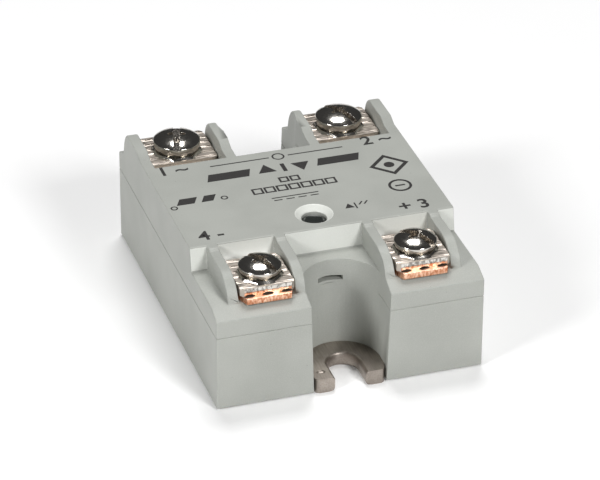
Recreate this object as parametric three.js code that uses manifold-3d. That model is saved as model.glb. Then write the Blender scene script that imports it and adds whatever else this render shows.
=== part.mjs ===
// A panel mount solid state relay: a metal base plate, a moulded housing and cover, four screw terminals,
// and inside them the power switch on its ceramic, the control board and the parts that stand on it.
// Millimetres. +X runs across the relay, +Y towards the two load terminals and +Z up.
// The origin is the middle of the base plate's underside, which lies on the heatsink.
import * as THREE from "three";
import { mergeVertices } from "three/addons/utils/BufferGeometryUtils.js";
import Module from "manifold-3d";

// Case
const caseLength = 58.2;
const caseWidth = 44.8;
const caseLift = 0.25; // the base plate stands this far proud of the case's lower rim
const splitHeight = 13.3; // parting line between housing and cover
const rimHeight = 16.4; // top of the two end faces
const ledgeHeight = 17.5; // shelf that the terminal strips lie on
const deckHeight = 21.6; // printed deck between the two shelves
const rimSlope = 3.0; // length of the sloping strip from each end face up to the shelf
const wall = 1.8;
const roof = 2.0;
const notchWall = 1.5;
const finThickness = 1.75;
const outerFinThickness = 1.9; // load end, flush with the case's side
const finFromNotch = 0.35; // control end, the inner fin beside the notch
const finShoulder = 0.6; // how far under its crest a fin's rounded shoulder is pulled
const finShoulderShare = 0.8;

// Base plate and its two mounting places, a slot at the control end and a hole at the load end
const plateThickness = 2.6;
const plateCornerRadius = 1.0;
const skirtWall = 1.3; // case wall beside the plate's edge
const plateClearance = 0.15;
const slotInset = 4.2; // from the end face to the slot's round end
const holeInset = 6.4;
const mountHoleRadius = 2.6;
const notchRadius = 6.2; // at the plate's top
const notchSideDraft = 0.03; // growth of the notch for each millimetre of height
const notchBackDraft = 0.075;
const earClearance = 0.25;

// Cover details
const lipThickness = 1.2;
const lipDepth = 1.5;
const lipClearance = 0.15;
const latchWidth = 4.2;
const latchHeight = 0.8;
const latchRise = 0.5; // from the parting line to the window
const latchClearance = 0.15;
const tongueThickness = 1.0;
const tongueOverWindow = 0.5;
const tongueRoot = 2.3; // under the parting line
const windowRadius = 2.1;
const windowBevel = 1.0;
const windowDepth = 0.8;
const windowFromDeckEdge = 4.6;
const wellWall = 1.3;
const wellFloor = 0.7;
const wellBottom = 11.0;

// The two ends. Each is described as the load end is, with distances outwards from the middle of the relay
// or inwards from the end face, and the control end is the same thing turned half round.
const control = {
  name: "control",
  turn: Math.PI,
  bayDepth: 14.2, // end face to the foot of the deck's wall
  deckLean: 0.8,
  bayWidth: 9.5,
  screwInset: 7.2,
  crest: 21.3, // top of the fins beside each terminal
  crestRamp: 0.5,
  crestStart: 0.3, // from the foot of the deck's wall
  crestEnd: 7.6, // inwards from the end face
  stripThickness: 1.1,
  stripWidth: 9.0,
  clampThickness: 1.4,
  bossHeight: 0.3,
  bossRadius: 4.05,
  screwRadius: 1.75,
  headRadius: 3.5,
  headSide: 1.35,
  headDome: 0.95,
  nutWidth: 6.0,
  nutHeight: 2.4,
};
const load = {
  name: "load",
  turn: 0,
  bayDepth: 15.7,
  deckLean: 0.7,
  bayWidth: 12.3,
  screwInset: 7.8,
  crest: 22.4,
  crestRamp: 1.9,
  crestStart: 2.1,
  crestEnd: 5.8,
  stripThickness: 1.2,
  stripWidth: 10.8,
  clampThickness: 1.0,
  bossHeight: 0.3,
  bossRadius: 4.6,
  screwRadius: 2.0,
  headRadius: 4.0,
  headSide: 1.7,
  headDome: 1.0,
  nutWidth: 7.0,
  nutHeight: 2.8,
};

// Terminals
const stripInset = 1.9; // the strip's end to the end face
const stripCornerAcross = 0.8;
const stripCornerAlong = 2.0;
const legWidth = 6.0;
const legClearance = 0.15;
const clampInset = 2.7;
const clampLength = 9.5;
const clampClearance = 0.25;
const clampCorner = 0.6;
const gripPitch = 3.05; // three grooves under each clamp
const gripWidth = 1.8;
const gripDepth = 0.5;
const screwLength = 7.8; // under the head
const threadClearance = 0.1;
const holeClearance = 0.35;
const recessWidth = 1.1;
const recessDepth = 1.5;
const slotDepthShare = 0.8; // the slot is this much as deep as the cross
const pointShare = 0.25; // chamfer at the screw's end, of the shank's radius
const crossLength = 4.2;
const nutClearance = 0.15;
const loadFootLength = 5.2;

// Power switch on the plate
const ceramicThickness = 0.65;
const ceramicPastLeg = 0.65; // the ceramic's side edge beyond the load legs
const ceramicLength = 24.0;
const ceramicFromNotch = 1.0;
const padThickness = 0.4;
const padMargin = 0.5;
const padGap = 1.2;
const chipSize = 8.0;
const chipThickness = 0.4;
const chipFromGap = 3.4;
const chipFromEdge = 13.0;
const bridgeWidth = 3.0;
const bridgeThickness = 0.3;
const bridgeFromPad = 0.4;
const bridgeFoot = 2.6;
const gatePinSize = 0.6;
const pottingUnderBoard = 2.4;
const pottingClearance = 0.3;

// Control board
const boardDrop = 4.3; // from the parting line to the board's underside
const boardThickness = 1.6;
const boardClearance = 1.3;
const boardShelf = 2.5;
const lensClearance = 0.05;
const lensTop = 20.7;
const lensOverLed = 0.3;
const lensCollar = 0.6;
const lensCollarHeight = 1.0;
const lensDome = 0.4;
const ledRadius = 1.6;
const ledHeight = 1.5;

const halfLength = caseLength / 2;
const halfWidth = caseWidth / 2;
const arcSteps = 12;
const plateSteps = 8;
const roundSteps = 24;
const past = 1.0; // how far a cutting shape runs past the face that it cuts

for (const end of [control, load]) {
  end.foot = halfLength - end.bayDepth; // of the deck's wall, from the relay's middle
  end.deckEdge = end.foot - end.deckLean;
  end.screwY = halfLength - end.screwInset;
  end.seat = ledgeHeight + end.stripThickness; // the clamp's underside
  end.underHead = end.seat + end.clampThickness + end.bossHeight;
}
control.centreX = notchRadius + finFromNotch + finThickness + control.bayWidth / 2;
control.mountInset = slotInset;
load.centreX = halfWidth - outerFinThickness - load.bayWidth / 2;
load.mountInset = holeInset;

const boardBottom = splitHeight - boardDrop;
const boardTop = boardBottom + boardThickness;
const pottingHeight = boardBottom - pottingUnderBoard;
const lensY = -control.deckEdge + windowFromDeckEdge;
const lensBottom = boardTop + ledHeight + lensOverLed;
const ceramicTop = plateThickness + ceramicThickness;
const padTop = ceramicTop + padThickness;
const chipTop = padTop + chipThickness;
const ceramicWidth = 2 * (load.centreX + legWidth / 2 + ceramicPastLeg);
const ceramicEdge = notchBack(load, notchWall, plateThickness) - ceramicFromNotch;
const chipX = padGap / 2 + chipFromGap + chipSize / 2;
const chipY = ceramicEdge - chipFromEdge - chipSize / 2;
const deckMiddle = (load.deckEdge - control.deckEdge) / 2;

const wasm = await Module();
wasm.setup();

// A closed three.js geometry as a solid that can be cut and joined.
function solid(geometry) {
  const bare = geometry.clone();
  bare.deleteAttribute("normal");
  bare.deleteAttribute("uv");
  const merged = mergeVertices(bare, 1e-4);
  const vertProperties = merged.attributes.position.array;
  const triVerts = new Uint32Array(merged.index.array);
  return new wasm.Manifold(new wasm.Mesh({ numProp: 3, vertProperties, triVerts }));
}

function geometryOf(body) {
  const mesh = body.getMesh();
  const geometry = new THREE.BufferGeometry();
  geometry.setAttribute("position", new THREE.BufferAttribute(mesh.vertProperties, 3));
  geometry.setIndex(new THREE.BufferAttribute(mesh.triVerts, 1));
  geometry.computeVertexNormals();
  return geometry;
}

function joined(...solids) {
  return solids.reduce((whole, next) => whole.add(next));
}

// A box from its low and high limits along X, Y and Z.
function boxGeometry([x0, x1], [y0, y1], [z0, z1]) {
  const geometry = new THREE.BoxGeometry(x1 - x0, y1 - y0, z1 - z0);
  return geometry.translate((x0 + x1) / 2, (y0 + y1) / 2, (z0 + z1) / 2);
}

function block(x, y, z) {
  return solid(boxGeometry(x, y, z));
}

// A limit pair either side of a centre.
function about(centre, half) {
  return [centre - half, centre + half];
}

// An outline in plan raised from z0 to z1.
function raised(shape, [z0, z1], steps = arcSteps) {
  const options = { depth: z1 - z0, bevelEnabled: false, curveSegments: steps };
  return new THREE.ExtrudeGeometry(shape, options).translate(0, 0, z0);
}

// An outline in the Y-Z plane run across the relay from x0 to x1.
function across(shape, [x0, x1]) {
  const options = { depth: x1 - x0, bevelEnabled: false, curveSegments: arcSteps / 2 };
  const turn = new THREE.Matrix4().set(0, 0, 1, x0, 1, 0, 0, 0, 0, 1, 0, 0, 0, 0, 0, 1);
  return new THREE.ExtrudeGeometry(shape, options).applyMatrix4(turn);
}

// An outline in the X-Z plane run along the relay from y0 to y1.
function along(shape, [y0, y1]) {
  const options = { depth: y1 - y0, bevelEnabled: false };
  return new THREE.ExtrudeGeometry(shape, options).rotateX(Math.PI / 2).translate(0, y1, 0);
}

function outline(points) {
  return new THREE.Shape(points.map(([x, y]) => new THREE.Vector2(x, y)));
}

function rod(radius, [z0, z1], x = 0, y = 0, topRadius = radius, steps = roundSteps) {
  const geometry = new THREE.CylinderGeometry(topRadius, radius, z1 - z0, steps);
  return geometry.rotateX(Math.PI / 2).translate(x, y, (z0 + z1) / 2);
}

// A profile of radius and height turned about Z.
function turned(profile, steps = roundSteps) {
  const points = profile.map(([r, z]) => new THREE.Vector2(r, z));
  return new THREE.LatheGeometry(points, steps).rotateX(Math.PI / 2);
}

// A shape made at the load end, moved to the end that it is for.
function atEnd(end, geometry) {
  return solid(geometry.rotateZ(end.turn));
}

// The U-shaped hollow above a mounting place, grown by extra all round, with the draft of its mould.
function notch(end, extra, [z0, z1]) {
  const radius = notchRadius + extra;
  const reach = end.mountInset + past;
  const shape = new THREE.Shape();
  shape.moveTo(-radius, 0);
  shape.absarc(0, 0, radius, Math.PI, 2 * Math.PI, false);
  shape.lineTo(radius, reach);
  shape.lineTo(-radius, reach);
  shape.closePath();
  const geometry = raised(shape, [z0, z1]);
  const place = geometry.attributes.position;
  for (let i = 0; i < place.count; i++) {
    const rise = place.getZ(i) - plateThickness;
    place.setX(i, place.getX(i) * (1 + (notchSideDraft * rise) / radius));
    if (place.getY(i) < 0) {
      place.setY(i, place.getY(i) * (1 + (notchBackDraft * rise) / radius));
    }
  }
  return atEnd(end, geometry.translate(0, halfLength - end.mountInset, 0));
}

// How far from the relay's middle the notch wall's inner side lies at a height.
function notchBack(end, extra, z) {
  const radius = notchRadius + extra + notchBackDraft * (z - plateThickness);
  return halfLength - end.mountInset - radius;
}

// The case seen from the side. The same outline set in by a wall and a roof is the hollow inside.
function caseOutline(inset, drop, base) {
  const end = halfLength - inset;
  const slope = (ledgeHeight - rimHeight) / rimSlope;
  const rim = rimHeight + inset * slope - drop;
  const ledge = ledgeHeight - drop;
  const deck = deckHeight - drop;
  return outline([
    [-end, base],
    [end, base],
    [end, rim],
    [halfLength - rimSlope, ledge],
    [load.foot - inset, ledge],
    [load.deckEdge - inset, deck],
    [-control.deckEdge + inset, deck],
    [-control.foot + inset, ledge],
    [-halfLength + rimSlope, ledge],
    [-end, rim],
  ]);
}

// A fin that stands beside a terminal, from inside the deck out to the shelf's edge.
function finOutline(end) {
  const start = end.foot + end.crestStart;
  const finish = halfLength - end.crestEnd;
  const base = ledgeHeight - roof / 2;
  const shape = new THREE.Shape();
  shape.moveTo(end.deckEdge - past, base);
  shape.lineTo(halfLength - rimSlope, base);
  shape.lineTo(halfLength - rimSlope, ledgeHeight);
  const shoulder = finish + (halfLength - rimSlope - finish) * finShoulderShare;
  shape.quadraticCurveTo(shoulder, end.crest - finShoulder, finish, end.crest);
  shape.lineTo(start + end.crestRamp, end.crest);
  shape.lineTo(start, deckHeight);
  shape.lineTo(end.deckEdge - past, deckHeight);
  shape.closePath();
  return shape;
}

function finLimits(end) {
  const inner = end.centreX - end.bayWidth / 2;
  const outer = end.centreX + end.bayWidth / 2;
  return [
    [inner - finThickness, inner],
    [outer, end === load ? halfWidth : outer + finThickness],
  ];
}

function mirrored([low, high], side) {
  return side > 0 ? [low, high] : [-high, -low];
}

// The housing's latch tongue behind the notch wall, and the barb on it that fills the cover's window.
function latchTongue(end) {
  const half = latchWidth / 2 - latchClearance;
  const windowBase = splitHeight + latchRise;
  const tip = windowBase + latchHeight + tongueOverWindow;
  const face = notchBack(end, notchWall, tip) - latchClearance;
  const root = splitHeight - tongueRoot;
  const buried = notchBack(end, notchWall / 2, root);
  const barb = [windowBase + latchClearance, windowBase + latchHeight - latchClearance];
  return joined(
    atEnd(end, boxGeometry([-half, half], [face - tongueThickness, face], [root, tip])),
    atEnd(
      end,
      boxGeometry([-half, half], [face - tongueThickness, buried], [root, splitHeight - latchClearance]),
    ),
    atEnd(end, boxGeometry([-half, half], [face - tongueThickness / 2, face + notchWall / 2], barb)),
  );
}

function makeHousing() {
  const height = [caseLift, splitHeight];
  const outer = block(about(0, halfWidth), about(0, halfLength), height);
  const bore = block(about(0, halfWidth - wall), about(0, halfLength - wall), [-past, splitHeight + past]);
  const platePocket = block(
    about(0, halfWidth - skirtWall),
    about(0, halfLength - skirtWall),
    [-past, plateThickness],
  );
  let body = outer.subtract(bore).subtract(platePocket);
  for (const end of [control, load]) {
    body = body.add(notch(end, notchWall, [plateThickness, splitHeight]).intersect(outer));
    body = body.subtract(notch(end, 0, [-past, splitHeight + past]));
    body = body.add(latchTongue(end));
  }
  const shelfX = [halfWidth - wall - boardShelf, halfWidth - wall / 2];
  const front = -halfLength + wall + boardClearance;
  const back = load.foot - legClearance * 4;
  for (const side of [-1, 1]) {
    for (const y of [[front, front + boardShelf], [back - boardShelf, back]]) {
      body = body.add(block(mirrored(shelfX, side), y, [boardBottom - boardShelf / 2, boardBottom]));
    }
  }
  return body;
}

// A rectangular ring inside the case, set in from the outside by inset.
function ring(inset, innerInset, z) {
  const outer = block(about(0, halfWidth - inset), about(0, halfLength - inset), z);
  const cut = [z[0] - past, z[1] + past];
  return outer.subtract(block(about(0, halfWidth - innerInset), about(0, halfLength - innerInset), cut));
}

function makeCover() {
  const outer = solid(across(caseOutline(0, 0, splitHeight), about(0, halfWidth)));
  const hollow = solid(across(caseOutline(wall, roof, splitHeight - past), about(0, halfWidth - wall)));
  let body = outer.subtract(hollow);

  // The lip that reaches down inside the housing.
  const lipInset = wall + lipClearance;
  const lipInner = lipInset + lipThickness;
  let lip = ring(lipInset, lipInner, [splitHeight - lipDepth, splitHeight]);
  for (const end of [control, load]) {
    lip = lip.subtract(notch(end, notchWall + lipClearance, [splitHeight - lipDepth - past, splitHeight]));
  }
  body = joined(body, lip, ring(wall - lipClearance, lipInner, [splitHeight, splitHeight + lipThickness]));

  for (const end of [control, load]) {
    for (const side of [-1, 1]) {
      for (const limits of finLimits(end)) {
        body = body.add(atEnd(end, across(finOutline(end), mirrored(limits, side))));
      }
      body = body.add(nutWell(end, side));
    }
    body = body.add(notch(end, notchWall, [splitHeight, ledgeHeight]).intersect(outer));
  }
  for (const end of [control, load]) {
    body = body.subtract(notch(end, 0, [splitHeight - lipDepth - past, deckHeight + 2 * past]));
    body = body.subtract(latchWindow(end));
    for (const side of [-1, 1]) {
      body = body.subtract(nutPocket(end, side)).subtract(legSlot(end, side));
    }
  }
  const bevelTop = deckHeight + windowDepth;
  const bevelRadius = windowRadius + 2 * windowBevel;
  const bevel = rod(windowRadius, [deckHeight - windowDepth, bevelTop], 0, lensY, bevelRadius);
  const bore = rod(windowRadius, [deckHeight - roof - past, deckHeight], 0, lensY);
  return body.subtract(solid(bevel)).subtract(solid(bore));
}

// A well under the shelf that holds a terminal's nut and takes the end of its screw.
function nutWell(end, side) {
  const half = end.nutWidth / 2 + nutClearance + wellWall;
  return atEnd(
    end,
    boxGeometry(
      about(side * end.centreX, half),
      about(end.screwY, half),
      [wellBottom, ledgeHeight - roof / 2],
    ),
  );
}

function nutPocket(end, side) {
  const x = side * end.centreX;
  const half = end.nutWidth / 2 + nutClearance;
  const seat = [ledgeHeight - end.nutHeight, ledgeHeight + past];
  const pocket = boxGeometry(about(x, half), about(end.screwY, half), seat);
  const bore = rod(end.screwRadius + holeClearance, [wellBottom + wellFloor, ledgeHeight], x, end.screwY);
  return atEnd(end, pocket).add(atEnd(end, bore));
}

function legSlot(end, side) {
  const inner = end.foot + legClearance;
  const outer = inner + end.stripThickness + 2 * legClearance;
  const x = about(side * end.centreX, legWidth / 2 + legClearance);
  return atEnd(end, boxGeometry(x, [inner, outer], [ledgeHeight - roof - past, ledgeHeight + past]));
}

function latchWindow(end) {
  const base = splitHeight + latchRise;
  const middle = notchBack(end, notchWall / 2, base);
  const z = [base, base + latchHeight];
  return atEnd(end, boxGeometry(about(0, latchWidth / 2), about(middle, notchWall), z));
}

// The plate, with an ear in each notch: one slotted from its end, one with a round hole.
function makePlate() {
  const halfX = halfWidth - skirtWall - plateClearance;
  const halfY = halfLength - skirtWall - plateClearance;
  const ear = notchRadius - earClearance;
  const r = plateCornerRadius;
  const slotY = -halfLength + slotInset;
  const shape = new THREE.Shape();
  shape.absarc(halfX - r, halfY - r, r, 0, Math.PI / 2, false);
  shape.lineTo(ear, halfY);
  shape.absarc(ear - r, halfLength - r, r, 0, Math.PI / 2, false);
  shape.absarc(-ear + r, halfLength - r, r, Math.PI / 2, Math.PI, false);
  shape.lineTo(-ear, halfY);
  shape.absarc(-halfX + r, halfY - r, r, Math.PI / 2, Math.PI, false);
  shape.absarc(-halfX + r, -halfY + r, r, Math.PI, 1.5 * Math.PI, false);
  shape.lineTo(-ear, -halfY);
  shape.absarc(-ear + r, -halfLength + r, r, Math.PI, 1.5 * Math.PI, false);
  shape.lineTo(-mountHoleRadius, -halfLength);
  shape.absarc(0, slotY, mountHoleRadius, Math.PI, 0, true);
  shape.lineTo(mountHoleRadius, -halfLength);
  shape.absarc(ear - r, -halfLength + r, r, 1.5 * Math.PI, 2 * Math.PI, false);
  shape.lineTo(ear, -halfY);
  shape.absarc(halfX - r, -halfY + r, r, 1.5 * Math.PI, 2 * Math.PI, false);
  const hole = new THREE.Path();
  hole.absarc(0, halfLength - holeInset, mountHoleRadius, 0, 2 * Math.PI, false);
  shape.holes.push(hole);
  return solid(raised(shape, [0, plateThickness], plateSteps));
}

// A terminal strip, from its open end over the nut to the fold, and down its leg.
function makeStrip(end) {
  const tip = halfLength - stripInset;
  const heel = end.foot + 2 * legClearance;
  const half = end.stripWidth / 2;
  const cornerX = half - stripCornerAcross;
  const cornerY = tip - stripCornerAlong;
  const flat = outline([
    [-half, heel],
    [half, heel],
    [half, cornerY],
    [cornerX, tip],
    [-cornerX, tip],
    [-half, cornerY],
  ]);
  const thickness = end.stripThickness;
  const bottom = end === load ? padTop : boardBottom;
  const top = ledgeHeight + thickness;
  const leg = boxGeometry(about(0, legWidth / 2), [heel, heel + thickness], [bottom, top]);
  let body = solid(raised(flat, [ledgeHeight, end.seat])).add(solid(leg));
  if (end === load) {
    const foot = boxGeometry(
      about(0, legWidth / 2),
      [heel + thickness - loadFootLength, heel + thickness],
      [padTop, padTop + thickness],
    );
    body = body.add(solid(foot));
  }
  const hole = rod(end.screwRadius + holeClearance, [0, 2 * ledgeHeight], 0, end.screwY);
  return body.subtract(solid(hole));
}

// A clamp: a plate with a raised boss under the screw's head and three grip grooves beneath.
function makeClamp(end) {
  const half = end.bayWidth / 2 - clampClearance;
  const y = [halfLength - clampInset - clampLength, halfLength - clampInset];
  const c = clampCorner;
  const plan = outline([
    [-half + c, y[0]],
    [half - c, y[0]],
    [half, y[0] + c],
    [half, y[1] - c],
    [half - c, y[1]],
    [-half + c, y[1]],
    [-half, y[1] - c],
    [-half, y[0] + c],
  ]);
  const top = end.seat + end.clampThickness;
  let body = solid(raised(plan, [end.seat, top]));
  const boss = rod(end.bossRadius, [top - end.bossHeight, end.underHead], 0, end.screwY, end.bossRadius, 8);
  body = body.add(solid(boss));
  for (const step of [-1, 0, 1]) {
    const x = about(step * gripPitch, gripWidth / 2);
    const z = [end.seat - past, end.seat + gripDepth];
    body = body.subtract(block(x, [y[0] - past, y[1] + past], z));
  }
  const hole = rod(end.screwRadius + holeClearance, [0, 2 * ledgeHeight], 0, end.screwY);
  return body.subtract(solid(hole));
}

// A pan head screw with a slot and a cross in its head. Its thread is left as a plain shank.
function makeScrew(end) {
  const shank = end.screwRadius - threadClearance;
  const tip = end.underHead - screwLength;
  const rim = end.underHead + end.headSide;
  const profile = [
    [0, tip],
    [shank * (1 - pointShare), tip],
    [shank, tip + shank * pointShare],
    [shank, end.underHead],
    [end.headRadius, end.underHead],
    [end.headRadius, rim],
  ];
  const domeSteps = 4;
  for (let i = 1; i <= domeSteps; i++) {
    const angle = (i / domeSteps) * (Math.PI / 2);
    const radius = i === domeSteps ? 0 : end.headRadius * Math.cos(angle);
    profile.push([radius, rim + end.headDome * Math.sin(angle)]);
  }
  const top = rim + end.headDome;
  const slot = [top - recessDepth * slotDepthShare, top + past];
  const cross = [top - recessDepth, top + past];
  return solid(turned(profile).translate(0, end.screwY, 0))
    .subtract(block(about(0, recessWidth / 2), about(end.screwY, end.headRadius + past), slot))
    .subtract(block(about(0, crossLength / 2), about(end.screwY, recessWidth / 2), cross));
}

function makeNut(end) {
  const z = [ledgeHeight - end.nutHeight, ledgeHeight];
  const body = block(about(0, end.nutWidth / 2), about(end.screwY, end.nutWidth / 2), z);
  return body.subtract(solid(rod(end.screwRadius, [z[0] - past, z[1] + past], 0, end.screwY)));
}

// A copper bridge from one chip's top across the gap to the other chip's pad. side is its chip's side.
function makeBridge(side) {
  const start = chipX + chipSize / 4;
  const step = -padGap / 2 - bridgeFromPad;
  const finish = step - bridgeFoot;
  const shape = outline([
    [side * start, chipTop],
    [side * (step + bridgeThickness), chipTop],
    [side * (step + bridgeThickness), padTop + bridgeThickness],
    [side * (step + bridgeThickness), padTop],
    [side * finish, padTop],
    [side * finish, padTop + bridgeThickness],
    [side * step, padTop + bridgeThickness],
    [side * step, chipTop + bridgeThickness],
    [side * start, chipTop + bridgeThickness],
  ]);
  const y = chipY + side * (chipSize / 4);
  return solid(along(shape, about(y, bridgeWidth / 2)));
}

function gatePinPlace(side) {
  return [side * (chipX + chipSize / 2 - gatePinSize), chipY - side * (chipSize / 4)];
}

function gatePinLimits(side, grow) {
  const [x, y] = gatePinPlace(side);
  return [about(x, gatePinSize / 2 + grow), about(y, gatePinSize / 2 + grow)];
}

// The potting that fills the housing's lower part, hollowed over the power switch and round its legs.
function makePotting() {
  const gap = pottingClearance;
  const z = [plateThickness, pottingHeight];
  const cut = [plateThickness - past, pottingHeight + past];
  let body = block(about(0, halfWidth - wall - gap / 3), about(0, halfLength - wall - gap / 3), z);
  for (const end of [control, load]) {
    body = body.subtract(notch(end, notchWall + gap / 3, cut));
  }
  const hollowTop = padTop + load.stripThickness + gap;
  const hollowX = about(0, ceramicWidth / 2 + gap);
  const hollowY = [ceramicEdge - ceramicLength - gap, load.foot + load.stripThickness + 4 * gap];
  body = body.subtract(block(hollowX, hollowY, [cut[0], hollowTop]));
  for (const side of [-1, 1]) {
    const heel = load.foot + 2 * legClearance;
    const legX = about(side * load.centreX, legWidth / 2 + gap);
    body = body.subtract(block(legX, [heel - gap, heel + load.stripThickness + gap], cut));
    body = body.subtract(block(...gatePinLimits(side, gap), cut));
  }
  return body;
}

function makeBoard() {
  const z = [boardBottom, boardTop];
  const cut = [boardBottom - past, boardTop + past];
  const front = -halfLength + wall + boardClearance;
  const back = load.foot - 4 * legClearance;
  let body = block(about(0, halfWidth - wall - boardClearance), [front, back], z);
  body = body.subtract(notch(control, notchWall + pottingClearance, cut));
  for (const side of [-1, 1]) {
    const heel = control.foot + 2 * legClearance;
    const x = about(side * control.centreX, legWidth / 2 + legClearance);
    const slot = [heel - legClearance, heel + control.stripThickness + legClearance];
    body = body.subtract(atEnd(control, boxGeometry(x, slot, cut)));
  }
  return body;
}

// A block with a row of short legs along its two long sides, standing on the board at the origin.
function makeChipPackage([length, width, height], legsPerSide) {
  const stand = 0.3;
  const pitch = 2.54;
  const leg = { halfWidth: 0.3, buried: 0.2, reach: 0.9 };
  let body = block(about(0, length / 2), about(0, width / 2), [stand, height]);
  for (let i = 0; i < legsPerSide; i++) {
    const x = about((i - (legsPerSide - 1) / 2) * pitch, leg.halfWidth);
    for (const side of [-1, 1]) {
      const y = mirrored([width / 2 - leg.buried, width / 2 + leg.reach], side);
      body = body.add(block(x, y, [0, height / 2]));
    }
  }
  return body;
}

// A part with a round body lying along X and a wire at each end bent down to the board.
function makeAxialPart(length, radius) {
  const wire = 0.35; // half of its thickness
  const stand = 0.3;
  const wireReach = 1.5;
  const steps = 16;
  const middle = radius + stand;
  const reach = length / 2 + wireReach;
  const lying = new THREE.CylinderGeometry(radius, radius, length, steps).rotateZ(Math.PI / 2);
  return joined(
    solid(lying.translate(0, 0, middle)),
    block(about(0, reach), about(0, wire), about(middle, wire)),
    block([-reach, -reach + 2 * wire], about(0, wire), [0, middle + wire]),
    block([reach - 2 * wire, reach], about(0, wire), [0, middle + wire]),
  );
}

function makeLens() {
  const radius = windowRadius - lensClearance;
  const collarTop = deckHeight - roof;
  const profile = [
    [0, lensBottom],
    [radius, lensBottom],
    [radius, collarTop - lensCollarHeight],
    [radius + lensCollar, collarTop - lensCollarHeight],
    [radius + lensCollar, collarTop],
    [radius, collarTop],
    [radius, lensTop - lensDome],
    [radius * 0.7, lensTop - lensDome * 0.25],
    [0, lensTop],
  ];
  return solid(turned(profile));
}

function makeLed() {
  const dome = ledHeight * 0.4;
  const profile = [
    [0, 0],
    [ledRadius, 0],
    [ledRadius, ledHeight - dome],
    [ledRadius * 0.7, ledHeight - dome * 0.3],
    [0, ledHeight],
  ];
  return solid(turned(profile, 16));
}

const finishes = {
  case: { color: 0xb0b4ac, roughness: 0.55, metalness: 0.0 },
  plate: { color: 0x6e6660, roughness: 0.45, metalness: 0.9 },
  nickel: { color: 0xb9b2a8, roughness: 0.25, metalness: 1.0 },
  copper: { color: 0xd9825f, roughness: 0.35, metalness: 1.0 },
  ceramic: { color: 0xf0efe8, roughness: 0.5, metalness: 0.0 },
  silicon: { color: 0x4a4d55, roughness: 0.2, metalness: 0.6 },
  gel: { color: 0x2b2b2d, roughness: 0.4, metalness: 0.0 },
  board: { color: 0x2f5d3a, roughness: 0.5, metalness: 0.0 },
  epoxy: { color: 0x1d1d1f, roughness: 0.5, metalness: 0.0 },
  film: { color: 0xc9a23a, roughness: 0.45, metalness: 0.0 },
  lens: { color: 0x5c6a5e, roughness: 0.1, metalness: 0.0 },
};

function piece(name, finish, body) {
  const material = new THREE.MeshStandardMaterial(finishes[finish]);
  const mesh = new THREE.Mesh(geometryOf(body), material);
  mesh.name = name;
  return mesh;
}

const relay = new THREE.Group();
relay.add(piece("base_plate", "plate", makePlate()));
relay.add(piece("housing", "case", makeHousing()));
relay.add(piece("cover", "case", makeCover()));

// Terminals 1 and 2 are the load's, left and right as seen from the control end; 3 and 4 are the control's.
const terminals = [
  { number: 1, end: load, side: -1 },
  { number: 2, end: load, side: 1 },
  { number: 3, end: control, side: 1 },
  { number: 4, end: control, side: -1 },
];
for (const { number, end, side } of terminals) {
  const set = new THREE.Group();
  set.position.x = side * end.centreX;
  set.rotation.z = end.turn;
  set.add(piece(end.name + "_terminal_" + number, "copper", makeStrip(end)));
  set.add(piece(end.name + "_nut_" + number, "nickel", makeNut(end)));
  set.add(piece(end.name + "_clamp_" + number, "nickel", makeClamp(end)));
  set.add(piece(end.name + "_screw_" + number, "nickel", makeScrew(end)));
  relay.add(set);
}

const ceramicY = [ceramicEdge - ceramicLength, ceramicEdge];
relay.add(
  piece(
    "ceramic_substrate",
    "ceramic",
    block(about(0, ceramicWidth / 2), ceramicY, [plateThickness, ceramicTop]),
  ),
);
for (const [letter, side] of [["a", -1], ["b", 1]]) {
  const padX = mirrored([padGap / 2, ceramicWidth / 2 - padMargin], side);
  const padY = [ceramicY[0] + padMargin, ceramicY[1] - padMargin];
  const chipLimits = [about(side * chipX, chipSize / 2), about(chipY, chipSize / 2)];
  relay.add(piece("copper_pad_" + letter, "copper", block(padX, padY, [ceramicTop, padTop])));
  relay.add(piece("thyristor_chip_" + letter, "silicon", block(...chipLimits, [padTop, chipTop])));
  relay.add(piece("bridge_clip_" + letter, "copper", makeBridge(side)));
  relay.add(piece("gate_pin_" + letter, "copper", block(...gatePinLimits(side, 0), [chipTop, boardBottom])));
}
relay.add(piece("potting", "gel", makePotting()));
relay.add(piece("circuit_board", "board", makeBoard()));

// What stands on the board, each placed from the middle of the deck above it.
const boardParts = [
  { name: "optocoupler_a", finish: "epoxy", x: -6.2, y: -2.4, body: makeChipPackage([8.8, 6.4, 3.5], 3) },
  { name: "optocoupler_b", finish: "epoxy", x: 5.2, y: -2.4, body: makeChipPackage([8.8, 6.4, 3.5], 3) },
  { name: "snubber_capacitor", finish: "film", x: 2.0, y: 8.4, body: makeChipPackage([18, 5, 7.5], 2) },
  { name: "snubber_resistor", finish: "ceramic", x: -12.2, y: 3.8, body: makeAxialPart(8.0, 1.7) },
  { name: "gate_resistor_a", finish: "ceramic", x: -15.0, y: -0.6, body: makeAxialPart(4.5, 1.0) },
  { name: "gate_resistor_b", finish: "ceramic", x: 14.4, y: -0.6, body: makeAxialPart(4.5, 1.0) },
  { name: "input_resistor", finish: "ceramic", x: -11.0, y: -9.0, body: makeAxialPart(6.3, 1.2) },
  { name: "input_diode", finish: "epoxy", x: 14.0, y: -9.0, body: makeAxialPart(5.0, 1.35) },
  { name: "input_transistor", finish: "epoxy", x: 6.6, y: -9.0, body: makeChipPackage([4.6, 2.6, 4.2], 1) },
];
for (const { name, finish, x, y, body } of boardParts) {
  const mesh = piece(name, finish, body);
  mesh.position.set(x, deckMiddle + y, boardTop);
  relay.add(mesh);
}

const led = piece("status_led", "lens", makeLed());
led.position.set(0, lensY, boardTop);
relay.add(led);
const lens = piece("status_lens", "lens", makeLens());
lens.position.set(0, lensY, 0);
relay.add(lens);

export default relay;
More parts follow.
